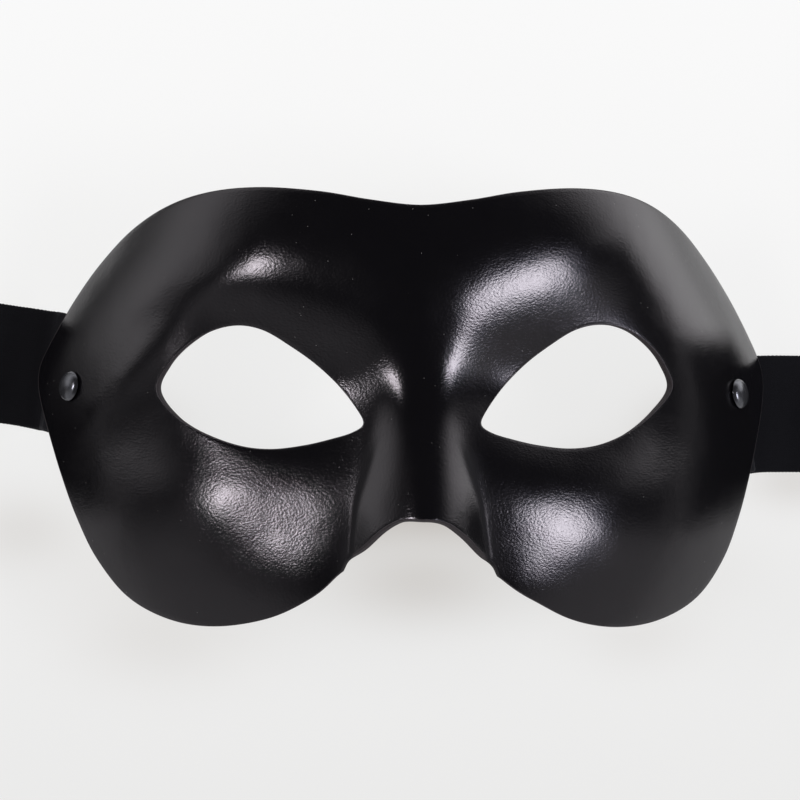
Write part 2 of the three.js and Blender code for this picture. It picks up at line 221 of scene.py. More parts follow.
# the two halves were cut by hand: each pull moves the plan near it
face["pulls"] = {
    "right": [pull(85, 0, 80, 0.9, 0.2), pull(57, 12, 13, 0.5, 0.45), pull(20, 2, 12, 0.35, -0.35),
              pull(68, -50, 24, 0.45, -0.65), pull(20, -42, 9, -0.7, -0.9)],
    "left": [pull(58, -3, 8, 0.55, -0.65), pull(52, 16, 9, -0.1, -0.35), pull(9, -31, 9, 1, 1.4),
             pull(18, -40, 6, 0.5, 0.6), pull(78, -45, 16, -0.35, 0.3), pull(40, -56, 13, 0, 0.6)],
}


# 0 below 0, 1 above 1, and between them three squares less two cubes.
def smoothStep(value):
    share = np.clip(value, 0, 1)
    return share**2 * (3 - 2 * share)


# Half of the value plus the root of its square and the softness squared.
def softPart(value, softness):
    return (value + np.sqrt(value * value + softness * softness)) / 2


# Square of the distance from a form's centre, in its own turned radii, which may differ
# from side to side by a share of the way along over its root with the softness.
def ovalDistance(form, u, y):
    du, dy = u - form["u"], y - form["y"]
    along = du * math.cos(form["turn"]) + dy * math.sin(form["turn"])
    across = dy * math.cos(form["turn"]) - du * math.sin(form["turn"])
    radiusU = form["radiusU"] + form.get("outward", 0) * along / np.hypot(along, face["lopSoftness"])
    radiusY = form["radiusY"] + form.get("upward", 0) * across / np.hypot(across, face["lopSoftness"])
    return (along / radiusU) ** 2 + (across / radiusY) ** 2


# The sum of each form's height times e to minus its oval distance.
def swells(forms, u, y):
    return sum(form["height"] * np.exp(-ovalDistance(form, u, y)) for form in forms.values())


# The dome and the roof of the nose. The dome falls by a power of the distance from the
# middle, less two square-law rolls, plus swells, less the eye hollow.
def domeAndRoof(x, y):
    f = face
    u = np.hypot(x, f["middleRound"])
    lean = y / f["tiltReach"]
    z = f["crown"] - f["wrapDrop"] * (u / f["wrapReach"]) ** f["wrapPower"] * (
        1 + f["wrapTilt"] * lean + f["wrapBow"] * lean**2)
    z = z - f["foreheadRoll"] * softPart(y - f["foreheadStart"], f["rollSoftness"]) ** 2
    z = z - f["cheekRoll"] * softPart(f["cheekStart"] - y, f["rollSoftness"]) ** 2
    leftward = smoothStep(-x / f["leftFade"])
    z = z + swells(f["swells"], u, y) + leftward * swells(f["leftSwells"], u, y)
    inside = softPart(1 - ovalDistance(f["socket"], u, y), f["crestSoftness"])
    depth = f["socketDepth"] + f["socketDeepening"] * (y - f["socket"]["y"])
    z = z - inside ** f["socketPower"] * depth
    halfWidth = f["ridgeHalfWidth"] + f["ridgeFlare"] * y
    fall = np.hypot(np.maximum(u - halfWidth, 0), f["ridgeRound"]) - f["ridgeRound"]
    roof = f["ridgeHeight"] - f["ridgeSlope"] * y - f["ridgeBow"] * y * y
    steeper = f["noseSideSlope"] + f["noseSideSpread"] * y - f["noseSideLeast"]
    sideSlope = f["noseSideLeast"] + softPart(steeper, f["noseSideSoftness"])
    roof = roof - sideSlope * fall * (1 - f["leftEase"] * leftward)
    return z, roof


# Soft maximum of the dome and the roof of the nose: half of their sum and of the root of
# their difference squared plus the blend squared. The blend grows away from the notch.
def faceHeight(x, y):
    f = face
    dome, roof = domeAndRoof(x, y)
    upward = smoothStep((y - f["creaseFrom"]) / f["creaseSpan"])
    blend = f["creaseBlend"] + (f["noseBlend"] - f["creaseBlend"]) * upward
    return (dome + roof + np.hypot(dome - roof, blend)) / 2


# 1 in the crease beside the nose. It rises over a short step on the nose's side, falls by e to
# minus the squared height of the cheek over that side, and fades out towards the eyes.
def creaseAt(x, y):
    dome, roof = domeAndRoof(x, y)
    low = 1 - smoothStep((y - face["creaseFade"]) / face["creaseFadeSpan"])
    over = dome - roof
    onNose = smoothStep(over / face["creaseRise"] + 1)
    return low * onNose * np.exp(-(np.maximum(over, 0) / face["creaseWidth"]) ** 2)


# Unit vector of minus the two slopes and one, each slope a difference over a patch.
def faceNormal(x, y, patch=0.1 * mm):
    dx = (faceHeight(x + patch, y) - faceHeight(x - patch, y)) / (2 * patch)
    dy = (faceHeight(x, y + patch) - faceHeight(x, y - patch)) / (2 * patch)
    normal = np.stack([-dx, -dy, np.ones_like(dx)], axis=-1)
    return normal / np.linalg.norm(normal, axis=-1, keepdims=True)


# The place on the outer skin, less the depth along the normal of a wide patch.
def facePoint(x, y, depth):
    place = np.stack([x, y, faceHeight(x, y)], axis=-1)
    return place - faceNormal(x, y, face["innerPatch"]) * depth[..., None]


# A plan drawn for one half, put on its side. Each pull moves it by e to minus the squared
# distance over its reach, and the middle line stays where it is.
def onSide(plan, side):
    x, y = plan[..., 0], plan[..., 1]
    free = smoothStep(x / face["pullFade"])
    across, up = x, y
    for p in face["pulls"]["right" if side > 0 else "left"]:
        share = free * np.exp(-((x - p["x"]) ** 2 + (y - p["y"]) ** 2) / p["reach"] ** 2)
        across, up = across + share * p["outward"], up + share * p["upward"]
    return side * across, up


# From the face's own middle to the middle of its outline.
def onTable(places):
    return places + np.array([0, face["centring"], 0])


# Strap

strap = {
    "width": 30 * mm,
    "thickness": 1.2 * mm,
    "gap": 0.35 * mm,
    "ease": 0.22 * mm,
    "rimMargin": 3 * mm,
    "layerTop": 2.2 * mm,
    "tuckRounds": 4,
    "lapEnd": 10,  # route spans at each end that lie against the leather
    "samples": 6000,
    "rows": 1400,
    "columns": 26,
    "edgeSteps": 4,
    "picotPitch": 0.9 * mm,
    "picotDepth": 0.12 * mm,
}

# Middle line: x, y, z in metres, lean of the width from level towards upright, and
# turn of the width in plan, in degrees.
strapRoute = [
    (-0.0749, 0.0056, 0.0309, 5, 8), (-0.0786, 0.0062, 0.0259, 5, 8), (-0.0816, 0.0067, 0.0213, 5, 8),
    (-0.0844, 0.0071, 0.0161, 5, 8), (-0.0869, 0.0075, 0.0103, 4, 8), (-0.0883, 0.0077, 0.0050, 2, 8),
    (-0.0893, 0.0079, 0.0027, 0, 8), (-0.0908, 0.0081, 0.0021, 0, 8), (-0.0940, 0.0086, 0.0021, 0, 8),
    (-0.0990, 0.0093, 0.0022, 0, 8), (-0.1024, 0.0098, 0.0029, 0, 8), (-0.1045, 0.0101, 0.0035, 0, 8),
    (-0.1063, 0.0104, 0.0029, 0, 8), (-0.1064, 0.0104, 0.0015, 0, 8), (-0.1046, 0.0101, 0.0007, 0, 8),
    (-0.1010, 0.0096, 0.0006, 0, 8), (-0.0940, 0.0085, 0.0006, 0, 8), (-0.0860, 0.0064, 0.0006, 8, 8),
    (-0.0800, 0.0028, 0.0006, 24, 6), (-0.0740, -0.0022, 0.0006, 46, 3), (-0.0680, -0.0080, 0.0006, 68, 0),
    (-0.0620, -0.0136, 0.0006, 84, 0), (-0.0560, -0.0180, 0.0006, 90, 0), (-0.0490, -0.0218, 0.0006, 90, 0),
    (-0.0410, -0.0250, 0.0006, 90, 0), (-0.0310, -0.0276, 0.0006, 90, 0), (-0.0200, -0.0276, 0.0006, 90, 0),
    (-0.0100, -0.0256, 0.0006, 90, 0), (0.0000, -0.0246, 0.0006, 90, 0), (0.0100, -0.0256, 0.0006, 90, 0),
    (0.0200, -0.0276, 0.0006, 90, 0), (0.0310, -0.0280, 0.0006, 90, 0), (0.0410, -0.0264, 0.0006, 90, 0),
    (0.0490, -0.0236, 0.0006, 85, 0), (0.0560, -0.0204, 0.0006, 76, 0), (0.0620, -0.0170, 0.0006, 62, 0),
    (0.0680, -0.0132, 0.0006, 44, 0), (0.0740, -0.0094, 0.0006, 26, 0), (0.0800, -0.0062, 0.0006, 12, 0),
    (0.0860, -0.0041, 0.0006, 4, 0), (0.0940, -0.0031, 0.0006, 0, 0), (0.1030, -0.0031, 0.0006, 0, 0),
    (0.1067, -0.0031, 0.0007, 0, 0), (0.1085, -0.0031, 0.0015, 0, 0), (0.1084, -0.0031, 0.0029, 0, 0),
    (0.1066, -0.0031, 0.0035, 0, 0), (0.1044, -0.0031, 0.0029, 0, 0), (0.1010, -0.0031, 0.0022, 0, 0),
    (0.0940, -0.0031, 0.0021, 0, 0), (0.0908, -0.0031, 0.0021, 0, 0), (0.0893, -0.0030, 0.0028, 1, 0),
    (0.0883, -0.0030, 0.0052, 3, -2), (0.0870, -0.0029, 0.0107, 5, -5), (0.0848, -0.0027, 0.0161, 6, -7),
    (0.0820, -0.0024, 0.0215, 6, -8), (0.0792, -0.0022, 0.0263, 6, -8), (0.0756, -0.0020, 0.0315, 6, -8),
]

# half outline, from the dip in the brow edge round the temple to the kink by the nose
browEdge = np.array([
    (0, 47.4), (12, 48.7), (24, 50.8), (38, 52), (50, 51.2), (60, 48.2), (68.7, 42.7),
    (76.2, 34.9), (82.4, 26.4), (87.6, 17.6), (91.4, 10), (92.2, 5), (91.4, -0.6),
    (89.2, -8.7), (86.3, -18.3), (82.6, -28.7), (77.7, -39.1), (70.1, -48.2),
    (59.4, -53.4), (47.7, -54.8), (36.3, -52.6), (26.5, -47.2), (18.8, -41.2),
]) * mm
notchEdge = np.array([
    (18.8, -41.2), (17.4, -38.6), (14, -35.9), (9.3, -31.9), (4.6, -28.8), (0, -27.9),
]) * mm


# Where a place is nearer to the inner face of the temple than the strap may lie, it
# moves back along the face's normal by the shortfall, less so past the rim and low down.
def tuck(places, ease):
    s = strap
    clear = face["leather"] + s["gap"] + ease + s["thickness"] / 2
    rim = browEdge[6:20][::-1]  # the temple's part of the outline, from below upwards
    for _ in range(s["tuckRounds"]):
        normal = faceNormal(places[..., 0], places[..., 1])
        depth = (faceHeight(places[..., 0], places[..., 1]) - places[..., 2]) * normal[..., 2]
        foot = places + normal * depth[..., None]
        edge = np.interp(foot[..., 1], rim[:, 1], rim[:, 0]) + face["wider"] * (foot[..., 0] > 0)
        hold = np.clip(1 + (edge - np.abs(foot[..., 0])) / s["rimMargin"], 0, 1)
        hold = hold * np.clip((places[..., 2] - s["layerTop"]) / s["layerTop"], 0, 1)
        places = places - normal * (hold * np.maximum(clear - depth, 0))[..., None]
    return places


# A thin flat section with round edges is carried along the route. Its width starts level,
# is made square to the path, and turns about the path by the lean; the table lifts it.
def addStrap():
    s = strap
    route = np.array(strapRoute)
    line = route[:, :3]
    dense = np.linspace(0, len(route) - 1, s["samples"])
    path = smoothPath(line, dense, 0.5)
    lean, turn = (np.interp(dense, np.arange(len(route)), np.radians(route[:, k])) for k in (3, 4))
    rows = evenly(np.column_stack([path, lean, turn, dense]), s["rows"])
    centre, lean, turn, span = rows[:, :3], rows[:, 3:4], rows[:, 4:5], rows[:, 5]
    tangent = np.gradient(centre, axis=0)
    tangent /= np.linalg.norm(tangent, axis=1, keepdims=True)
    level = np.hstack([np.sin(turn), np.cos(turn), np.zeros_like(turn)])
    level -= tangent * (level * tangent).sum(1, keepdims=True)
    level /= np.linalg.norm(level, axis=1, keepdims=True)
    width = level * np.cos(lean) + np.cross(tangent, level) * np.sin(lean)
    normal = np.cross(width, tangent)
    reach = (np.abs(width[:, 2]) * s["width"] + np.abs(normal[:, 2]) * s["thickness"]) / 2
    centre = centre + np.array([0, 0, 1]) * np.maximum(reach - centre[:, 2], 0)[:, None]

    # the section: across the top, round one edge, back underneath, round the other
    half, flat = s["thickness"] / 2, s["width"] / 2 - s["thickness"] / 2
    over = np.linspace(-flat, flat, s["columns"])
    arc = np.linspace(0, np.pi, s["edgeSteps"] + 2)[1:-1]
    side = np.concatenate([over, flat + half * np.sin(arc), over[::-1], -flat - half * np.sin(arc)])
    rise = np.concatenate([over * 0 + half, half * np.cos(arc), over * 0 - half, -half * np.cos(arc)])
    gone = np.linspace(0, 1, s["rows"])[:, None] * lengthOf(centre)
    wave = np.cos(2 * np.pi * gone / s["picotPitch"])
    picot = 1 + s["picotDepth"] / s["width"] * wave * (np.abs(side) > flat)
    middle = centre[:, None] + width[:, None] * (side * picot)[..., None]
    ends = (span < s["lapEnd"]) | (span > len(route) - 1 - s["lapEnd"])
    middle[ends] = tuck(middle[ends], s["ease"])
    skin = onTable(middle + normal[:, None] * rise[:, None])
    around = len(side)
    quads = gridFaces(s["rows"], around, closed=True)
    ladder = np.arange(around // 2 - 1)
    # the two ends are closed by quads from the top of the section to its underside
    first = np.stack([ladder, ladder + 1, around - 2 - ladder, around - 1 - ladder], axis=1)
    last = first[:, ::-1] + (s["rows"] - 1) * around
    piece = newPiece("strap_elastic", skin.reshape(-1, 3), np.vstack([quads, first, last]))
    along = np.broadcast_to(gone, (s["rows"], around)).ravel()
    weave = piece.data.uv_layers.new(name="weave")
    at = np.zeros(len(piece.data.loops), np.int32)
    piece.data.loops.foreach_get("vertex_index", at)
    across = np.broadcast_to(side, (s["rows"], around)).ravel()
    weave.data.foreach_set("uv", np.stack([along[at], across[at]], axis=1).astype(np.float32).ravel())
    return piece, skin.mean(axis=1)


def lengthOf(line):
    return float(np.linalg.norm(np.diff(line, axis=0), axis=1).sum())


strapPiece, strapLine = addStrap()
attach(strapPiece, "root")
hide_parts("strap")
print("strap made, %.0f mm long" % (lengthOf(strapLine) / mm))


# Mask shell

shell = {
    "browRows": 250,
    "notchRows": 46,
    "centreRows": 72,
    "rings": 44,
    "browSamples": 2400,
    "notchSamples": 600,
    "eyeSamples": 1600,
    "lipRadius": 0.4 * mm,
    "lipSteps": 3,
    "wallSteps": 3,
    "cutFrom": 0.05,  # the cut shows where the sine of pi times the depth's share is above this
}
eyeCentre = np.array([38, 3]) * mm
eyeHole = np.array([
    (62.4, 3), (60.2, 8.6), (56, 13.4), (50.4, 17.1), (44, 18.4), (37.6, 17.1), (31, 13.2),
    (25, 8.9), (19.6, 3.8), (15.4, -1.8), (14, -5.2), (16.5, -7.2), (21.2, -8.7), (28, -10.3),
    (36, -11.2), (43.6, -10.3), (51, -7.4), (57.6, -2.8),
]) * mm


# Where rays from the eye's middle meet the hole: the radius of its smooth closed curve
# is read off at each ray's angle.
def eyeEdge(towards):
    wound = np.vstack([eyeHole[-1:], eyeHole, eyeHole[:2]])
    rim = smoothPath(wound, np.linspace(1, len(eyeHole) + 1, shell["eyeSamples"]), 0) - eyeCentre
    angles = np.arctan2(rim[:, 1], rim[:, 0])
    radii = np.linalg.norm(rim, axis=1)
    ray = towards - eyeCentre
    angle = np.arctan2(ray[:, 1], ray[:, 0])
    radius = np.interp(angle, angles, radii, period=2 * np.pi)
    return eyeCentre + np.stack([np.cos(angle), np.sin(angle)], axis=1) * radius[:, None]


# Inset and depth down a cut edge: a quarter round, a straight wall and a quarter round.
def lipProfile():
    s = shell
    quarter = np.linspace(0, np.pi / 2, s["lipSteps"] + 1)[1:]
    r, wall = s["lipRadius"], np.linspace(0, 1, s["wallSteps"] + 2)[1:-1]
    inset = np.concatenate([r * (1 - np.sin(quarter)), wall * 0, r * (1 - np.sin(quarter[::-1]))])
    depth = r * (1 - np.cos(quarter))
    return inset, np.concatenate([depth, r + wall * (face["leather"] - 2 * r),
                                  face["leather"] - depth[::-1]])


# Rays run from the eye hole to the outline and the centre line. Each ray carries an outer
# and an inner skin, joined by rounded lips at the cut edges, and the other half mirrors it.
def addShell():
    s = shell
    browPoints = np.vstack([browEdge[1] * [-1, 1], browEdge])
    along = np.linspace(1, len(browEdge), s["browSamples"])
    brow = evenly(smoothPath(browPoints, along, 0), s["browRows"], 2)
    notchPoints = np.vstack([notchEdge, notchEdge[-2] * [-1, 1]])
    along = np.linspace(0, len(notchEdge) - 1, s["notchSamples"])
    notch = evenly(smoothPath(notchPoints, along, 0), s["notchRows"], 2)
    brow[0, 0] = notch[-1, 0] = 0
    centre = np.zeros((s["centreRows"], 2))
    centre[:, 1] = np.linspace(notch[-1, 1], brow[0, 1], s["centreRows"] + 2)[1:-1]
    edge = np.vstack([brow, notch[1:], centre])
    free = s["browRows"] + s["notchRows"] - 1
    count, rings = len(edge), s["rings"] + 1

    eye = eyeEdge(edge)
    ray = (edge - eye) / np.linalg.norm(edge - eye, axis=1, keepdims=True)
    inward = -ray
    inward[0], inward[free - 1] = (0, -1), (0, 1)
    r = s["lipRadius"]
    start = eye + ray * r
    stop = edge + inward * r
    stop[free:] = edge[free:]
    t = np.linspace(0, 1, rings)[None, :, None]
    plan = start[:, None] * (1 - t) + stop[:, None] * t
    inset, depth = lipProfile()
    eyePlan = eye[:, None] + ray[:, None] * inset[None, :, None]
    rimPlan = edge[:free, None] + inward[:free, None] * inset[None, :, None]
    blocks = [(plan, np.zeros(rings)), (plan, np.full(rings, face["leather"])),
              (eyePlan, depth), (rimPlan, depth)]

    # The blocks' places on one side; the middle line stays in the middle.
    def skinsOn(side):
        made = [facePoint(*onSide(p, side), np.broadcast_to(d, p.shape[:2])) for p, d in blocks]
        for skin, (p, _) in zip(made, blocks):
            skin[..., 0] = np.where(p[..., 0] == 0, 0, skin[..., 0])
        return made

    skins = skinsOn(1)
    sizes = [skin[..., 0].size for skin in skins]
    at = np.concatenate([[0], np.cumsum(sizes)])
    outer, inner, eyeLip, rimLip = (np.arange(a, a + n).reshape(skin.shape[:2])
                                    for a, n, skin in zip(at, sizes, skins))

    # Quads of a block of vertex numbers, turning row towards column.
    def sheet(index, closed):
        nextRow = np.roll(index, -1, axis=0) if closed else index[1:]
        this = index if closed else index[:-1]
        corners = [this[:, :-1], nextRow[:, :-1], nextRow[:, 1:], this[:, 1:]]
        return np.stack(corners, axis=-1).reshape(-1, 4)

    eyeWall = np.hstack([outer[:, :1], eyeLip, inner[:, :1]])
    rimWall = np.hstack([outer[:free, -1:], rimLip, inner[:free, -1:]])
    quads = np.vstack([sheet(outer, True), sheet(inner, True)[:, ::-1],
                       sheet(eyeWall, True)[:, ::-1], sheet(rimWall, False)])
    half, other = (onTable(np.vstack([skin.reshape(-1, 3) for skin in each]))
                   for each in (skins, skinsOn(-1)))
    wallDepth = np.clip(np.minimum(depth, face["leather"]) / face["leather"], 0, 1)
    cut = np.concatenate([np.zeros(at[2]), np.tile(np.sin(np.pi * wallDepth) > s["cutFrom"], count + free)])
    back = np.concatenate([np.zeros(sizes[0]), np.ones(sizes[1]), np.tile(wallDepth, count + free)])
    both = np.vstack([half, other])
    piece = newPiece("mask_leather", both, np.vstack([quads, quads[:, ::-1] + len(half)]),
                     {"cutEdge": np.tile(cut, 2), "fleshSide": np.tile(back, 2),
                      "crease": creaseAt(both[:, 0], both[:, 1] - face["centring"])})
    weld(piece)
    return piece


shellPiece = addShell()
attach(shellPiece, "root")
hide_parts("mask_shell")
print("mask shell made,", len(shellPiece.data.polygons), "faces")


# Rivets

rivet = {
    "places": {"left": (-83.7 * mm, 3.8 * mm), "right": (83.5 * mm, 2.0 * mm)},
    "capRadius": 3.75 * mm,
    "capHeight": 1.9 * mm,
    "capRim": 0.45 * mm,
    "postRadius": 1.3 * mm,
    "discRadius": 3.8 * mm,
    "discThickness": 0.8 * mm,
    "discSteps": 7,
    "rimSteps": 6,
    "rimTurn": 0.3,  # share of a half turn from level to where the dome begins
    "domeSteps": 16,
    "domeSpacing": 0.8,
    "domePower": 1.15,
    "sides": 72,
}


# Radius and height: a flat disc, a post, a flat cap underside, a round rim and a dome whose
# height falls with a power of the square root of one less the radius squared.
def rivetProfile():
    r = rivet
    under = strap["gap"]
    back = -(face["leather"] + 2 * strap["gap"] + 2 * strap["ease"] + strap["thickness"])
    turn = np.linspace(-np.pi / 2, np.pi / 2, r["discSteps"])
    roundDisc = r["discThickness"] / 2
    disc = np.stack([r["discRadius"] - roundDisc + roundDisc * np.cos(turn),
                     back - roundDisc + roundDisc * np.sin(turn)], axis=1)
    roundRim = r["capRim"] / 2
    lower = np.linspace(-np.pi / 2, np.pi * r["rimTurn"], r["rimSteps"])
    rim = np.stack([r["capRadius"] - roundRim + roundRim * np.cos(lower),
                    under + roundRim + roundRim * np.sin(lower)], axis=1)
    top = under + r["capHeight"]
    shoulder = rim[-1]
    q = np.linspace(1, 0, r["domeSteps"])[1:] ** r["domeSpacing"]
    rise = np.sqrt(1 - q**2) ** r["domePower"]
    dome = np.stack([shoulder[0] * q, shoulder[1] + (top - shoulder[1]) * rise], axis=1)
    centre = np.array([[0, back - 2 * roundDisc]])
    post = np.array([[r["postRadius"], back], [r["postRadius"], under]])
    return np.vstack([centre, disc, post, rim, dome])


# The profile is turned about the leather's normal: each point's radius goes round in the
# tangent plane and its height goes out along the normal.
def addRivet(side, place):
    profile = rivetProfile()
    x, y = (np.array([value]) for value in place)
    normal = faceNormal(x, y)[0]
    home = np.array([place[0], place[1], faceHeight(x, y)[0]])
    across = np.cross([0, 1, 0], normal)
    across /= np.linalg.norm(across)
    around = np.cross(normal, across)
    angle = np.linspace(0, 2 * np.pi, rivet["sides"], endpoint=False)
    ring = across * np.cos(angle)[:, None] + around * np.sin(angle)[:, None]
    skin = home + profile[:, None, :1] * ring[None] + profile[:, None, 1:] * normal
    quads = gridFaces(len(profile), rivet["sides"], closed=True)[:, ::-1]
    piece = newPiece("rivet_metal_" + side, onTable(skin).reshape(-1, 3), quads)
    weld(piece, 1e-6)
    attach(piece, "root")
    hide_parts("rivet_" + side)
    return piece


rivetPieces = [addRivet(side, place) for side, place in rivet["places"].items()]
print("rivets made")


# Materials

# A socket's output, with arithmetic that adds Math nodes.
class Wire:
    def __init__(self, shader, socket):
        self.shader, self.socket = shader, socket

    def math(self, operation, first, second):
        return self.shader.node("ShaderNodeMath", {"operation": operation}, {0: first, 1: second})

    def __add__(self, other):
        return self.math("ADD", self, other)

    def __radd__(self, other):
        return self.math("ADD", other, self)

    def __sub__(self, other):
        return self.math("SUBTRACT", self, other)

    def __rsub__(self, other):
        return self.math("SUBTRACT", other, self)

    def __mul__(self, other):
        return self.math("MULTIPLY", self, other)

    def __rmul__(self, other):
        return self.math("MULTIPLY", other, self)

    def __truediv__(self, other):
        return self.math("DIVIDE", self, other)

    def __pow__(self, other):
        return self.math("POWER", self, other)

    def __rpow__(self, other):
        return self.math("POWER", other, self)

    # 0 below the edge and 1 above it, rising smoothly over the softness.
    def above(self, edge, softness):
        return self.shader.node(
            "ShaderNodeMapRange", {"interpolation_type": "SMOOTHSTEP"},
            {"Value": self, "From Min": edge - softness / 2, "From Max": edge + softness / 2})


# The nodes of a material or of the room.
class Shader:
    def __init__(self, tree):
        self.tree = tree

    # Adds a node, sets it up, feeds its sockets with values or wires, and gives one output.
    def node(self, kind, settings=None, inputs=None, output=0):
        made = self.tree.nodes.new(kind)
        for name, value in (settings or {}).items():
            setattr(made, name, value)
        for name, value in (inputs or {}).items():
            if isinstance(value, Wire):
                self.tree.links.new(value.socket, made.inputs[name])
            else:
                made.inputs[name].default_value = value
        return Wire(self, made.outputs[output])

    def place(self):
        return self.node("ShaderNodeTexCoord", output="Object")

    # One of the three parts of a vector.
    def part(self, vector, axis):
        return self.node("ShaderNodeSeparateXYZ", None, {0: vector}, axis)

    def noise(self, where, size, detail, roughness):
        return self.node("ShaderNodeTexNoise", None, {
            "Vector": where, "Scale": 1 / size, "Detail": detail, "Roughness": roughness})

    # Distance to the nearest of many scattered points.
    def cells(self, where, size):
        return self.node("ShaderNodeTexVoronoi", None, {"Vector": where, "Scale": 1 / size}, "Distance")

    # First colour to second colour by the factor.
    def mix(self, factor, first, second):
        return self.node("ShaderNodeMix", {"data_type": "RGBA"}, {0: factor, 6: first, 7: second}, 2)

    def attribute(self, name):
        return self.node("ShaderNodeAttribute", {"attribute_name": name}, output="Fac")

    def bump(self, height, distance, strength, normal=None):
        feeds = {"Height": height, "Distance": distance, "Strength": strength}
        if normal is not None:
            feeds["Normal"] = normal
        return self.node("ShaderNodeBump", None, feeds)

    # The surface, and over it a dull one by the dullness.
    def surface(self, inputs, dull=None, dullness=0.0):
        shown = self.node("ShaderNodeBsdfPrincipled", None, inputs)
        if dull is not None:
            matt = self.node("ShaderNodeBsdfPrincipled", None, dull)
            shown = self.node("ShaderNodeMixShader", None, {0: dullness, 1: shown, 2: matt})
        end = self.tree.nodes.new("ShaderNodeOutputMaterial")
        self.tree.links.new(shown.socket, end.inputs["Surface"])


def newMaterial(name):
    material = bpy.data.materials.new(name)
    material.use_nodes = True
    material.node_tree.nodes.clear()
    return material, Shader(material.node_tree)


leatherLook = {
    "grain": (0.0036, 0.0033, 0.0043, 1),
    "gloss": (1.0, 0.935, 1.0, 1),  # the reflections are tinted slightly violet: painted light colour standing in for the lamps' tint
    "ior": 1.5,
    "specular": 0.56,
    "roughness": 0.17,
    "patchiness": 0.08,
    "cutEdge": (0.017, 0.0135, 0.015, 1),
    "cutFibre": (0.040, 0.032, 0.033, 1),
    "fleshSide": (0.020, 0.017, 0.015, 1),
    "fleshFibre": (0.034, 0.029, 0.026, 1),
    "mattRoughness": 0.85,
    "creaseShadeColour": (0.010, 0.009, 0.011, 1),  # a matt strip along the crease by the nose: painted shade that hides a bright reflection there
    "creaseShadeRoughness": 0.8,
    "creaseShadeSpecular": 0.2,
    "dust": (0.30, 0.29, 0.28, 1),
    "dustShare": 0.5,
    "dustCell": 3.2 * mm,
    "dustSize": 0.035,  # in cells
    "dustSoftness": 0.02,
    "pebble": 0.66 * mm,
    "pebbleShare": 0.25,
    "wrinkle": 0.40 * mm,
    "wrinkleTurn": (0.3, 0.2, 0.7),
    "wrinkleStretch": (0.55, 1, 1),
    "grainHeight": 0.043 * mm,
    "wave": 9 * mm,
    "waveHeight": 1.2 * mm,
    "waveStrength": 0.10,
    "patch": 6 * mm,
    "fibre": 0.35 * mm,
    "fibreHeight": 0.10 * mm,
    "fibreStrength": 0.8,
}


# Black grain on the outer skin, brown fibre on the flesh side and at the cut edges, and a few
# specks of dust. The height of the grain is wrinkles and round pebbles over long waves.
def leatherMaterial():
    look = leatherLook
    material, s = newMaterial("leather")
    where = s.place()
    cut = s.attribute("cutEdge")
    flesh = s.attribute("fleshSide").above(0.5, 0.6)
    pebble = s.cells(where, look["pebble"])
    drawn = s.node("ShaderNodeMapping", None, {
        "Vector": where, "Rotation": look["wrinkleTurn"], "Scale": look["wrinkleStretch"]})
    wrinkle = s.noise(drawn, look["wrinkle"], 2.5, 0.55)
    wave = s.noise(where, look["wave"], 1.0, 0.4)
    patch = s.noise(where, look["patch"], 3.0, 0.55)
    fibre = s.noise(where, look["fibre"], 4.0, 0.7)
    dust = 1 - s.cells(where, look["dustCell"]).above(look["dustSize"], look["dustSoftness"])
    grainColour = s.mix(dust * look["dustShare"], look["grain"], look["dust"])
    edgeColour = s.mix(fibre.above(0.55, 0.4), look["cutEdge"], look["cutFibre"])
    backColour = s.mix(fibre.above(0.5, 0.5), look["fleshSide"], look["fleshFibre"])
    colour = s.mix(flesh, grainColour, backColour)
    colour = s.mix(cut, colour, edgeColour)
    matt = flesh * (1 - cut) + cut
    rough = look["roughness"] + (patch - 0.5) * look["patchiness"]
    rough = rough * (1 - matt) + matt * look["mattRoughness"]
    skin = s.bump(wave, look["waveHeight"], look["waveStrength"])
    grain = wrinkle + (1 - pebble) * look["pebbleShare"]
    skin = s.bump(grain, look["grainHeight"], 1.0, skin)
    normal = s.bump(fibre * matt, look["fibreHeight"], look["fibreStrength"], skin)
    # Along the crease by the nose a matt surface with weaker reflections is mixed in: painted shade that
    # dims the crease.
    s.surface({"Base Color": colour, "Roughness": rough, "Normal": normal, "IOR": look["ior"],
               "Specular IOR Level": look["specular"], "Specular Tint": look["gloss"]},
              {"Base Color": look["creaseShadeColour"], "Roughness": look["creaseShadeRoughness"],
               "Normal": normal, "Specular IOR Level": look["creaseShadeSpecular"]},
              s.attribute("crease"))
    return material


strapLook = {
    "thread": (0.0080, 0.0078, 0.0105, 1),
    # the gap colour is painted shade, in the low parts of the weave
    "gap": (0.0030, 0.0029, 0.0040, 1),
    "ribPitch": 0.62 * mm,
    "ribHeight": 0.12,
    "weftPitch": 0.45 * mm,
    "weftHeight": 0.25,
    "fuzz": 0.25 * mm,
    "fuzzHeight": 0.9,
    "gapEdge": 0.1,
    "gapSoftness": 0.9,
    "height": 0.12 * mm,
    "strength": 0.8,
    "roughness": 0.9,
    "specular": 0.2,
    "sheen": 0.06,
    "sheenRoughness": 0.4,
    "sheenTint": (0.6, 0.6, 0.7, 1),
}


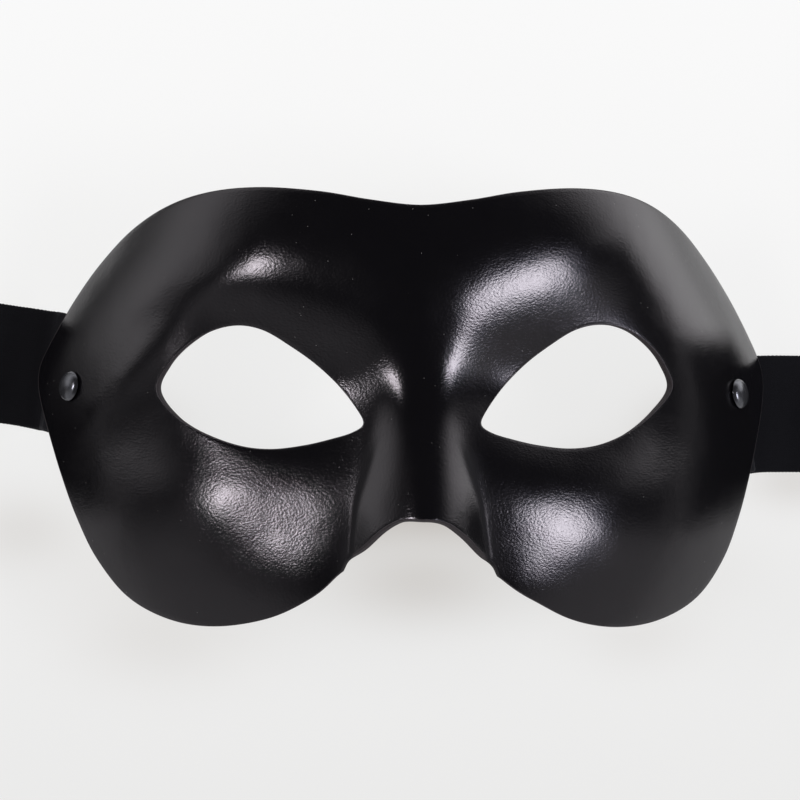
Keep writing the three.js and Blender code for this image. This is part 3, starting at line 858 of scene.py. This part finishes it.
# The weave's height is a sine across the band, the same times a sine along it, and fuzz.
def strapMaterial():
    look = strapLook
    material, s = newMaterial("elastic")
    weave = s.node("ShaderNodeUVMap", {"uv_map": "weave"})
    along, across = s.part(weave, "X"), s.part(weave, "Y")

    def ripple(distance, pitch):
        return s.node("ShaderNodeMath", {"operation": "SINE"}, {0: distance * (2 * math.pi / pitch)})

    rib = ripple(across, look["ribPitch"])
    weft = ripple(along, look["weftPitch"])
    fuzz = s.noise(s.place(), look["fuzz"], 3.0, 0.6)
    height = rib * look["ribHeight"] + weft * rib * look["weftHeight"] + fuzz * look["fuzzHeight"]
    # Where the weave is low it takes the darker gap colour: painted shade between the threads.
    thread = height.above(look["gapEdge"], look["gapSoftness"])
    s.surface({"Base Color": s.mix(thread, look["gap"], look["thread"]),
               "Roughness": look["roughness"], "Specular IOR Level": look["specular"],
               "Sheen Weight": look["sheen"], "Sheen Roughness": look["sheenRoughness"],
               "Sheen Tint": look["sheenTint"],
               "Normal": s.bump(height, look["height"], look["strength"])})
    return material


rivetLook = {
    "metal": (0.125, 0.127, 0.142, 1),
    "worn": (0.16, 0.16, 0.17, 1),
    "wear": 1.1 * mm,
    "wornFrom": 0.62,
    "wornSoftness": 0.3,
    "metallic": 0.85,
    "roughness": 0.22,
    "wornRoughness": 0.06,
    "scratch": 0.25 * mm,
    "scratchHeight": 0.006 * mm,
    "scratchStrength": 0.3,
}


def rivetMaterial():
    look = rivetLook
    material, s = newMaterial("gunmetal")
    where = s.place()
    wear = s.noise(where, look["wear"], 3.0, 0.6)
    scratch = s.noise(where, look["scratch"], 2.0, 0.6)
    colour = s.mix(wear.above(look["wornFrom"], look["wornSoftness"]), look["metal"], look["worn"])
    s.surface({"Base Color": colour, "Metallic": look["metallic"],
               "Roughness": look["roughness"] + wear * look["wornRoughness"],
               "Normal": s.bump(scratch, look["scratchHeight"], look["scratchStrength"])})
    return material


shellPiece.data.materials.append(leatherMaterial())
strapPiece.data.materials.append(strapMaterial())
gunmetal = rivetMaterial()
for piece in rivetPieces:
    piece.data.materials.append(gunmetal)
print("materials made")


# Table and lights

table = {
    "reach": 1.6,
    "lines": 9,
    "colour": (0.12, 0.12, 0.119, 1),
    "nearGlow": (0.745, 0.744, 0.738, 1),
    "farGlow": (0.87, 0.87, 0.868, 1),
    "glowSoftness": 0.26,
    "shade": (0.50, 0.47, 0.44, 1),
    # soft shades where the mask and the strap stand close over the table: place, reach, depth
    "shades": [
        ((5, -45), (21, 10), 0.50), ((-60, -59), (24, 12), 0.28), ((61, -59), (16, 9), 0.20),
        ((-96, -31), (15, 9), 0.30), ((102, -19), (14, 7), 0.45),
        ((-54, -42), (34, 13), 0.26), ((56, -42), (32, 13), 0.24),
    ],
    # and along the strap's lower edge
    "strapShades": [
        ((-68, -10), (11, 10), 0.75), ((-42, -25), (20, 8), 0.85), ((-16, -28), (18, 8), 0.85),
        ((8, -26), (16, 8), 0.85), ((32, -29), (18, 8), 0.85), ((56, -21), (15, 8), 0.85),
        ((74, -8), (11, 9), 0.75),
    ],
}


# A flat grid at one height.
def flatSheet(name, x, y, height):
    rows, columns = x.shape
    places = np.stack([x, y, x * 0 + height], axis=-1).reshape(-1, 3)
    return newPiece(name, places, gridFaces(rows, columns))


# The table glows, so that shadows on it stay pale. Its glow goes from near to far, and each soft
# shade is mixed in by its depth times e to minus the squared distance over its two reaches.
def addTable():
    side = np.linspace(-table["reach"], table["reach"], table["lines"])
    floor = flatSheet("table", *np.meshgrid(side, side, indexing="ij"), 0)
    material, s = newMaterial("table")
    x, y = s.part(s.place(), "X"), s.part(s.place(), "Y")
    glow = s.mix(y.above(0.0, table["glowSoftness"]), table["nearGlow"], table["farGlow"])
    for (atX, atY), (reachX, reachY), depth in table["shades"] + table["strapShades"]:
        away = ((x - atX * mm) / (reachX * mm)) ** 2 + ((y - atY * mm) / (reachY * mm)) ** 2
        glow = s.mix(depth * math.e ** (0 - away), glow, table["shade"])
    s.surface({"Base Color": table["colour"], "Roughness": 0.7, "Specular IOR Level": 0.0,
               "Emission Color": glow, "Emission Strength": 1.0})
    floor.data.materials.append(material)


# Paper laid on the table at both sides of the picture, which glows by itself as painted light and is seen
# in the gloss of the leather alone: pale at the far side, dim at the near side, and dark between, a painted
# reflection of the strap where it would run on.
paper = {
    "start": 0.104,
    "reach": 0.70,
    "height": 0.0006,
    "far": {"left": 1.10, "right": 2.05},
    "near": 0.64,
    "dark": 0.01,
    # painted shade of the mask: share of the far side's glow that is lost near the mask, and how far out
    # that reaches
    "maskShade": {"left": (0.86, 0.060), "right": (0.42, 0.018)},
    "edgeFrom": 0.1115,
    "farEdge": {"left": (0.020, 0.12), "right": (0.0255, 0.19)},  # place of the edge and its slant
    "nearEdge": {"left": (-0.027, -0.035), "right": (-0.0255, -0.111)},
    "farSoftness": {"left": 0.040, "right": 0.010},
    "nearSoftness": 0.020,
}


# The border of each part runs straight and slants with the way outward. The far part's glow is less by
# painted shade of the mask: a share times e to minus the way outward over its reach.
def addPaper(side, sign):
    p = paper
    across = np.linspace(p["start"], p["reach"], 2) * sign
    upward = np.linspace(-p["reach"], p["reach"], 2)
    grid = np.meshgrid(across[::sign], upward, indexing="ij")
    sheet = flatSheet("paper_" + side, *grid, p["height"])
    material, s = newMaterial("paper_" + side)
    x, y = s.part(s.place(), "X"), s.part(s.place(), "Y")
    out = x * sign - p["edgeFrom"]
    (farAt, farSlant), (nearAt, nearSlant) = p["farEdge"][side], p["nearEdge"][side]
    far = (y - out * farSlant).above(farAt, p["farSoftness"][side])
    near = 1 - (y - out * nearSlant).above(nearAt, p["nearSoftness"])
    share, reach = p["maskShade"][side]
    far = far * (1 - share * math.e ** (0 - out / reach))
    dark, bright, dim = ((v, v, v, 1) for v in (p["dark"], p["far"][side], p["near"]))
    glow = s.mix(near, s.mix(far, dark, bright), dim)
    s.surface({"Base Color": (0, 0, 0, 1), "Roughness": 1.0, "Specular IOR Level": 0.0,
               "Emission Color": glow, "Emission Strength": 1.0})
    sheet.data.materials.append(material)
    sheet.visible_camera = False
    sheet.visible_diffuse = False
    sheet.visible_shadow = False


def lightAt(towards, distance, size, turn, radiance, colour, shape="RECTANGLE"):
    return {"towards": towards, "distance": distance, "size": size, "turn": turn,
            "radiance": radiance, "colour": colour, "shape": shape}


lights = {
    "left_glow": lightAt((-0.660, 0.137, 0.739), 1.2, (0.36, 0.70), -0.36, 0.35,
                         (1.0, 0.99, 1.0), "ELLIPSE"),
    "right_glow": lightAt((0.695, -0.067, 0.716), 1.2, (0.56, 0.72), 0.39, 1.0,
                          (0.72, 0.78, 1.0), "ELLIPSE"),
    "left_softbox": lightAt((-0.672, 0.137, 0.728), 1.0, (0.125, 0.35), -0.36, 23.0, (1.0, 0.98, 0.99)),
    "right_softbox": lightAt((0.679, -0.067, 0.731), 1.0, (0.215, 0.34), 0.39, 17.8, (0.97, 0.97, 1.0)),
}


# An area light faces the mask square on, turned about its own axis. Its power is its radiance
# times pi, its width and its height.
def addLight(name, settings):
    width, height = settings["size"]
    data = bpy.data.lights.new(name, "AREA")
    data.shape, data.size, data.size_y = settings["shape"], width, height
    data.energy = settings["radiance"] * math.pi * width * height
    data.color = settings["colour"]
    lamp = bpy.data.objects.new(name, data)
    out = np.array(settings["towards"]) / np.linalg.norm(settings["towards"])
    level = np.cross([0, 1, 0], out)
    level /= np.linalg.norm(level)
    upward = np.cross(out, level)
    turn = settings["turn"]
    side = level * math.cos(turn) + upward * math.sin(turn)
    place = out * settings["distance"] + np.array([0, 0, 40 * mm])
    axes = np.column_stack([side, np.cross(out, side), out, place])
    lamp.matrix_world = Matrix(np.vstack([axes, [0, 0, 0, 1]]))
    bpy.context.scene.collection.objects.link(lamp)


room = {
    "above": 0.03,
    "near": 0.45,  # towards -Y, from halfway up to the horizon
    "nearEdge": -0.13,
    "nearSoftness": 0.70,
    "nearRight": 0.05,
    "nearTop": (0.65, 0.4),
    "far": {"left": 1.62, "right": 2.40},  # towards +Y, low down
    "farEdge": 0.16,
    "farSoftness": 0.10,
    "farRight": 0.10,
    "farTop": (0.126, 0.82),
    "rightSoftness": 0.4,
}


# The room is dark overhead, dim towards the front and bright low down at the back.
def addRoom():
    r = room
    world = bpy.data.worlds.new("room")
    world.use_nodes = True
    s = Shader(world.node_tree)
    towards = s.node("ShaderNodeTexCoord", output="Generated")
    x, y, z = (s.part(towards, axis) for axis in "XYZ")
    rightward = x.above(0, r["rightSoftness"])
    front = y * (1 + rightward) + rightward * r["nearRight"]
    near = (1 - front.above(r["nearEdge"], r["nearSoftness"])) * (1 - z.above(*r["nearTop"]))
    back = y - rightward * r["farRight"]
    far = back.above(r["farEdge"], r["farSoftness"]) * (1 - z.above(*r["farTop"]))
    level = r["above"] + near * r["near"]
    level = level + far * (r["far"]["left"] + rightward * (r["far"]["right"] - r["far"]["left"]))
    grey = s.node("ShaderNodeCombineXYZ", None, {0: level, 1: level, 2: level})
    s.tree.links.new(grey.socket, s.tree.nodes["Background"].inputs["Color"])
    bpy.context.scene.world = world


addTable()
for side, sign in (("left", -1), ("right", 1)):
    addPaper(side, sign)
for name, settings in lights.items():
    addLight(name, settings)
addRoom()
bpy.context.scene.view_settings.view_transform = "Standard"
print("table and lights placed")
